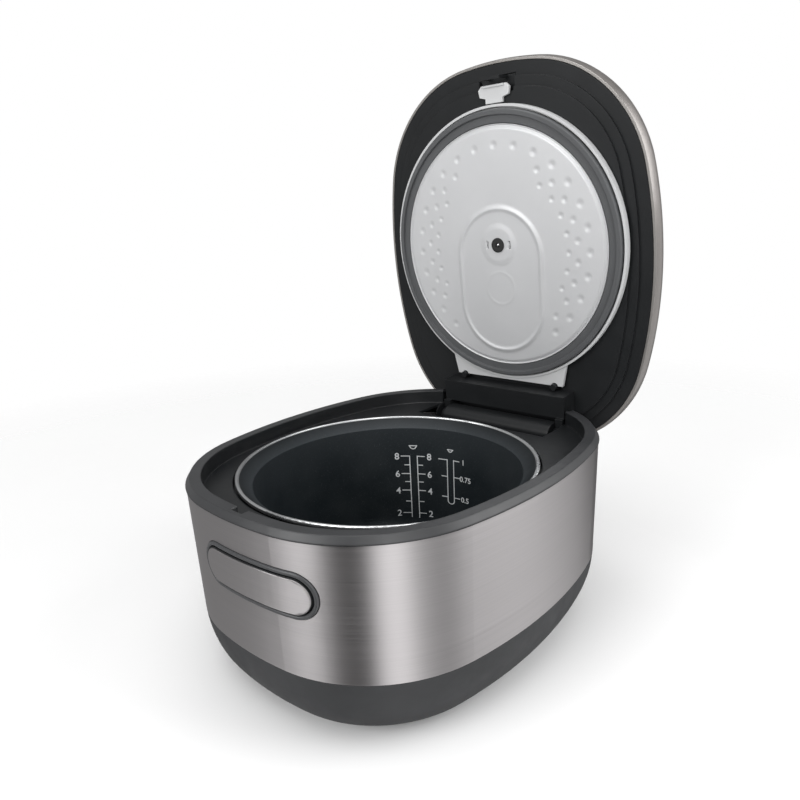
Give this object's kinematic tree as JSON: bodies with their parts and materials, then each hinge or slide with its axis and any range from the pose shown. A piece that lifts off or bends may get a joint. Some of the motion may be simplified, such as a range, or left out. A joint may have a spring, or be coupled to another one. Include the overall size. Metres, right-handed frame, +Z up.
{
  "type": "rice cooker",
  "caption": "Rice cooker with a hinged lid standing open, a lift-out pot, a brushed band, a wide front button and a removable inner lid with gasket and steam valve.",
  "frame": {"origin": "on the resting plane, under the common axis of pot, well, heating plate and thermostat cap", "axes": "+Z up along the pot axis, -Y toward the front button, +Y toward the lid hinge, +X to the right as seen from the front"},
  "size_m": [0.2668, 0.3647, 0.4375],
  "materials": {
    "dark_grey_plastic": "fine satin",
    "rubber": "matt",
    "steel": "plain bright",
    "band_steel": "brushed along the band",
    "rim_plastic": "satin",
    "black_plastic": "fine satin",
    "spring_steel": "drawn wire",
    "button_steel": "brushed",
    "white_plastic": "satin",
    "sheet_metal": "zinc-coated sheet",
    "cast_aluminium": "cast",
    "ceramic_white": "glazed",
    "board_green": "solder mask",
    "part_black": "moulded",
    "pin_brass": "plated",
    "pot_coating": "non-stick coating inside, bright rolled rim",
    "champagne_shell": "metallic lacquer",
    "gloss_black": "gloss",
    "display_glass": "glass over display",
    "lid_aluminium": "satin anodised",
    "gasket_rubber": "satin silicone"
  },
  "bodies": {
    "base": {"base_shell": "dark_grey_plastic", "bottom_plate": "dark_grey_plastic", "feet": "rubber", "case_screws": "steel", "steel_band": "band_steel", "deck": "rim_plastic", "hinge_housing": "black_plastic", "hinge_pin": "steel", "lid_spring": "spring_steel", "button_bezel": "rim_plastic", "button_springs": "spring_steel", "spring_plate": "black_plastic", "latch_pin": "steel", "well": "sheet_metal", "heating_plate": "cast_aluminium", "heater_element": "sheet_metal", "sensor_holder": "sheet_metal", "sensor_spring": "spring_steel", "thermal_fuse": "ceramic_white", "power_board": "board_green", "board_parts": "part_black", "power_inlet": "black_plastic", "inlet_pins": "pin_brass"},
    "lid": {"lid_cover": "champagne_shell", "control_panel": "gloss_black", "control_board": "board_green", "display": "display_glass", "lid_frame": "black_plastic", "hinge_block": "black_plastic", "lid_catch": "black_plastic", "steam_channel": "white_plastic"},
    "inner_lid": {"inner_lid_carrier": "white_plastic", "inner_lid_plate": "lid_aluminium", "lid_gasket": "gasket_rubber", "valve_seat": "rubber"},
    "pot": {"inner_pot": "pot_coating"},
    "button": {"release_button": "black_plastic", "button_plate": "button_steel"},
    "latch": {"latch_rocker": "white_plastic"},
    "sensor": {"sensor_cap": "cast_aluminium"},
    "cap": {"steam_cap": "gloss_black"},
    "ball": {"valve_ball": "steel"},
    "tab": {"release_tab": "white_plastic"}
  },
  "joints": [
    {"name": "lid_hinge", "type": "hinge", "parent": "base", "child": "lid", "pos_m": [0, 0.1565, 0.1339], "axis": [-1, 0, 0], "range_deg": [-83.9, 0], "deforming": ["lid_spring"]},
    {"name": "pot_lift", "type": "slide", "parent": "base", "child": "pot", "axis": [0, 0, 1], "range_m": [0, 0.13]},
    {"name": "inner_lid_removal", "type": "slide", "parent": "lid", "child": "inner_lid", "axis": [0, -0.9943, -0.1063], "range_m": [0, 0.02]},
    {"name": "button_press", "type": "slide", "parent": "base", "child": "button", "axis": [0, 1, 0], "range_m": [0, 0.0024], "stiffness_N_per_m": 400, "deforming": ["button_springs"]},
    {"name": "latch_tip", "type": "hinge", "parent": "base", "child": "latch", "pos_m": [0, -0.134, 0.128], "axis": [1, 0, 0], "range_deg": [0, 7.2]},
    {"name": "tab_slide", "type": "slide", "parent": "inner_lid", "child": "tab", "axis": [0, -0.1063, 0.9943], "range_m": [0, 0.002]},
    {"name": "sensor_press", "type": "slide", "parent": "base", "child": "sensor", "axis": [0, 0, 1], "range_m": [-0.002, 0], "stiffness_N_per_m": 500, "deforming": ["sensor_spring"]},
    {"name": "steam_cap_lift", "type": "slide", "parent": "lid", "child": "cap", "axis": [0, 0.9943, 0.1063], "range_m": [0, 0.03]},
    {"name": "valve_lift", "type": "slide", "parent": "inner_lid", "child": "ball", "axis": [0, 0.9943, 0.1063], "range_m": [0, 0.0014]}
  ],
  "couplings": [
    {"joint": "latch_tip", "follows": "button_press", "rad_per_m": 52.36}
  ]
}
